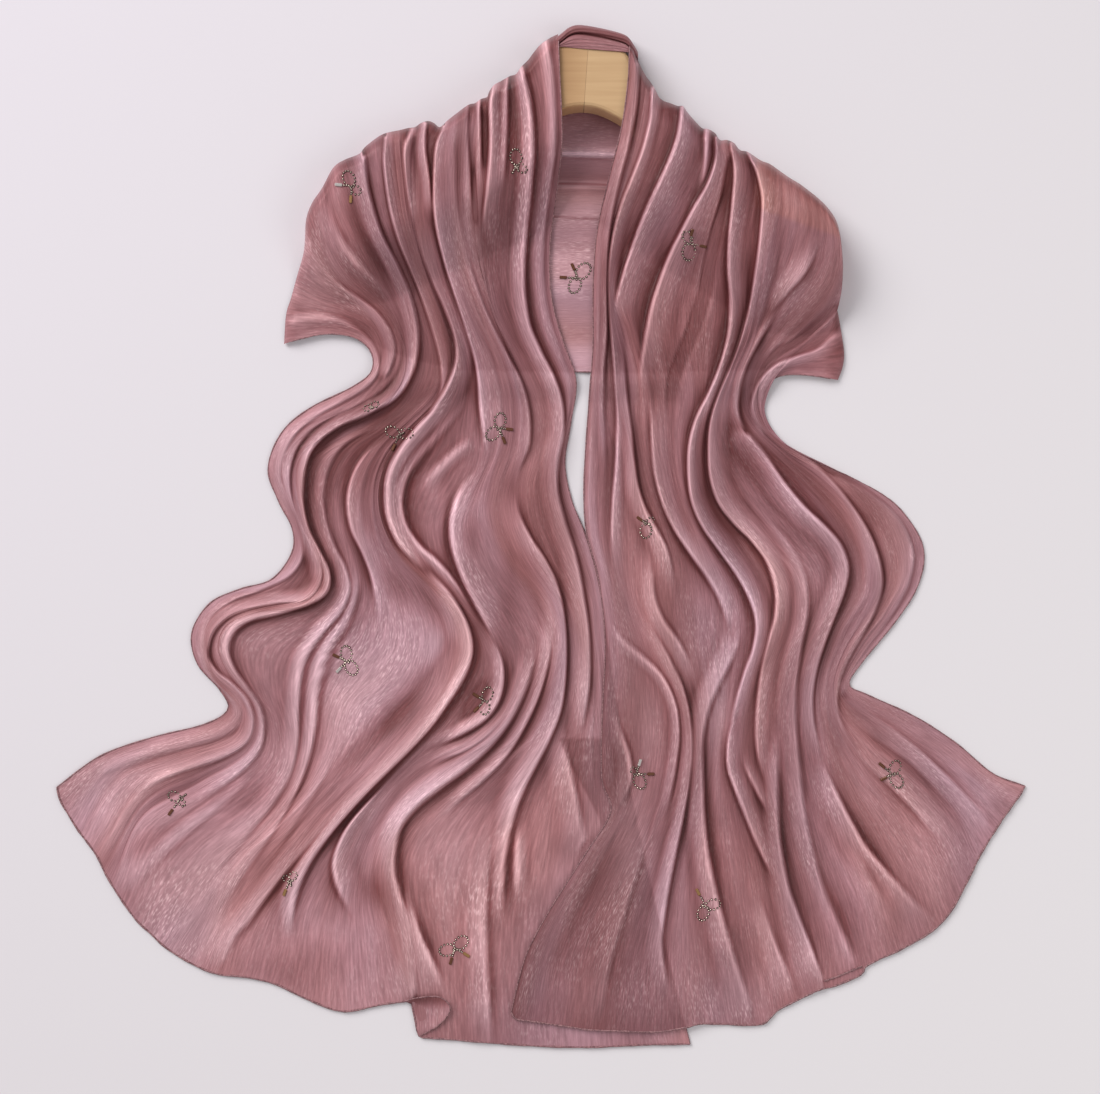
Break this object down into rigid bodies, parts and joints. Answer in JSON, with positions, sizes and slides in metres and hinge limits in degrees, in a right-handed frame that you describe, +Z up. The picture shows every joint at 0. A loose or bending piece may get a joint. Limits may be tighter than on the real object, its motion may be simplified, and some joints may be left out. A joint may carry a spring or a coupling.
{
  "type": "hijab shawl laid round a wooden hanger",
  "caption": "Long shimmer-cloth hijab shawl laid flat round a wooden hanger, its two folded ends spread at the hems and dotted with small bows of stones.",
  "frame": {"origin": "middle of the footprint, on the surface that the shawl lies on", "axes": "+Z up from the surface towards the viewer, +Y from the hems to the neck, +X to the right of the shawl as seen"},
  "size_m": [0.8508, 0.8938, 0.0446],
  "materials": {
    "cloth": "shimmer organza with a satin gloss",
    "wood": "clear satin lacquer"
  },
  "bodies": {
    "root": {"left_front": "cloth", "right_front": "cloth", "back_stretch": "cloth", "neck_roll": "cloth", "hanger_left": "wood", "hanger_right": "wood"}
  },
  "joints": []
}
